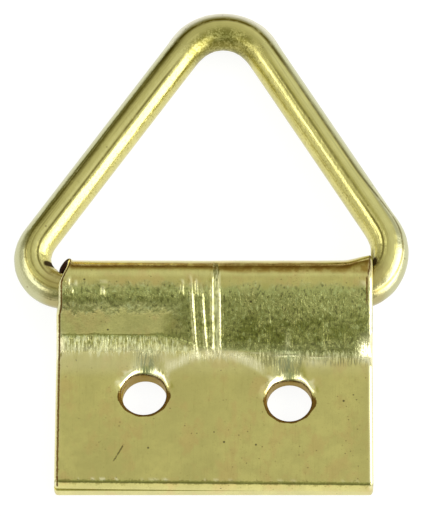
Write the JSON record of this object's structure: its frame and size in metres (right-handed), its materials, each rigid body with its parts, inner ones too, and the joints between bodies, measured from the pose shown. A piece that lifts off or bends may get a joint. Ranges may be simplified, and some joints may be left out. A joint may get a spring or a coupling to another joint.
{
  "type": "triangle-ring picture hanger",
  "caption": "Flat hanger for a picture's back: a folded brassed plate with screw holes, its rolled edge carrying a swinging triangular wire ring.",
  "frame": {"origin": "on the plate's back face, midway between the two screw holes", "axes": "+Z out of the front face, away from the surface the plate is screwed to; +Y from the screw holes towards the ring's top; +X to the right seen from the front"},
  "size_m": [0.0219, 0.0288, 0.0034],
  "materials": {
    "plate_brass": "bright brassed sheet with press and drawing marks",
    "wire_brass": "bright brassed drawn wire"
  },
  "bodies": {
    "plate": {"folded_plate": "plate_brass"},
    "ring": {"triangle_ring": "wire_brass"}
  },
  "joints": [
    {"name": "ring_swing", "type": "hinge", "parent": "plate", "child": "ring", "pos_m": [0, 0.00625, 0.0017], "axis": [1, 0, 0], "range_deg": [0, 173]}
  ]
}
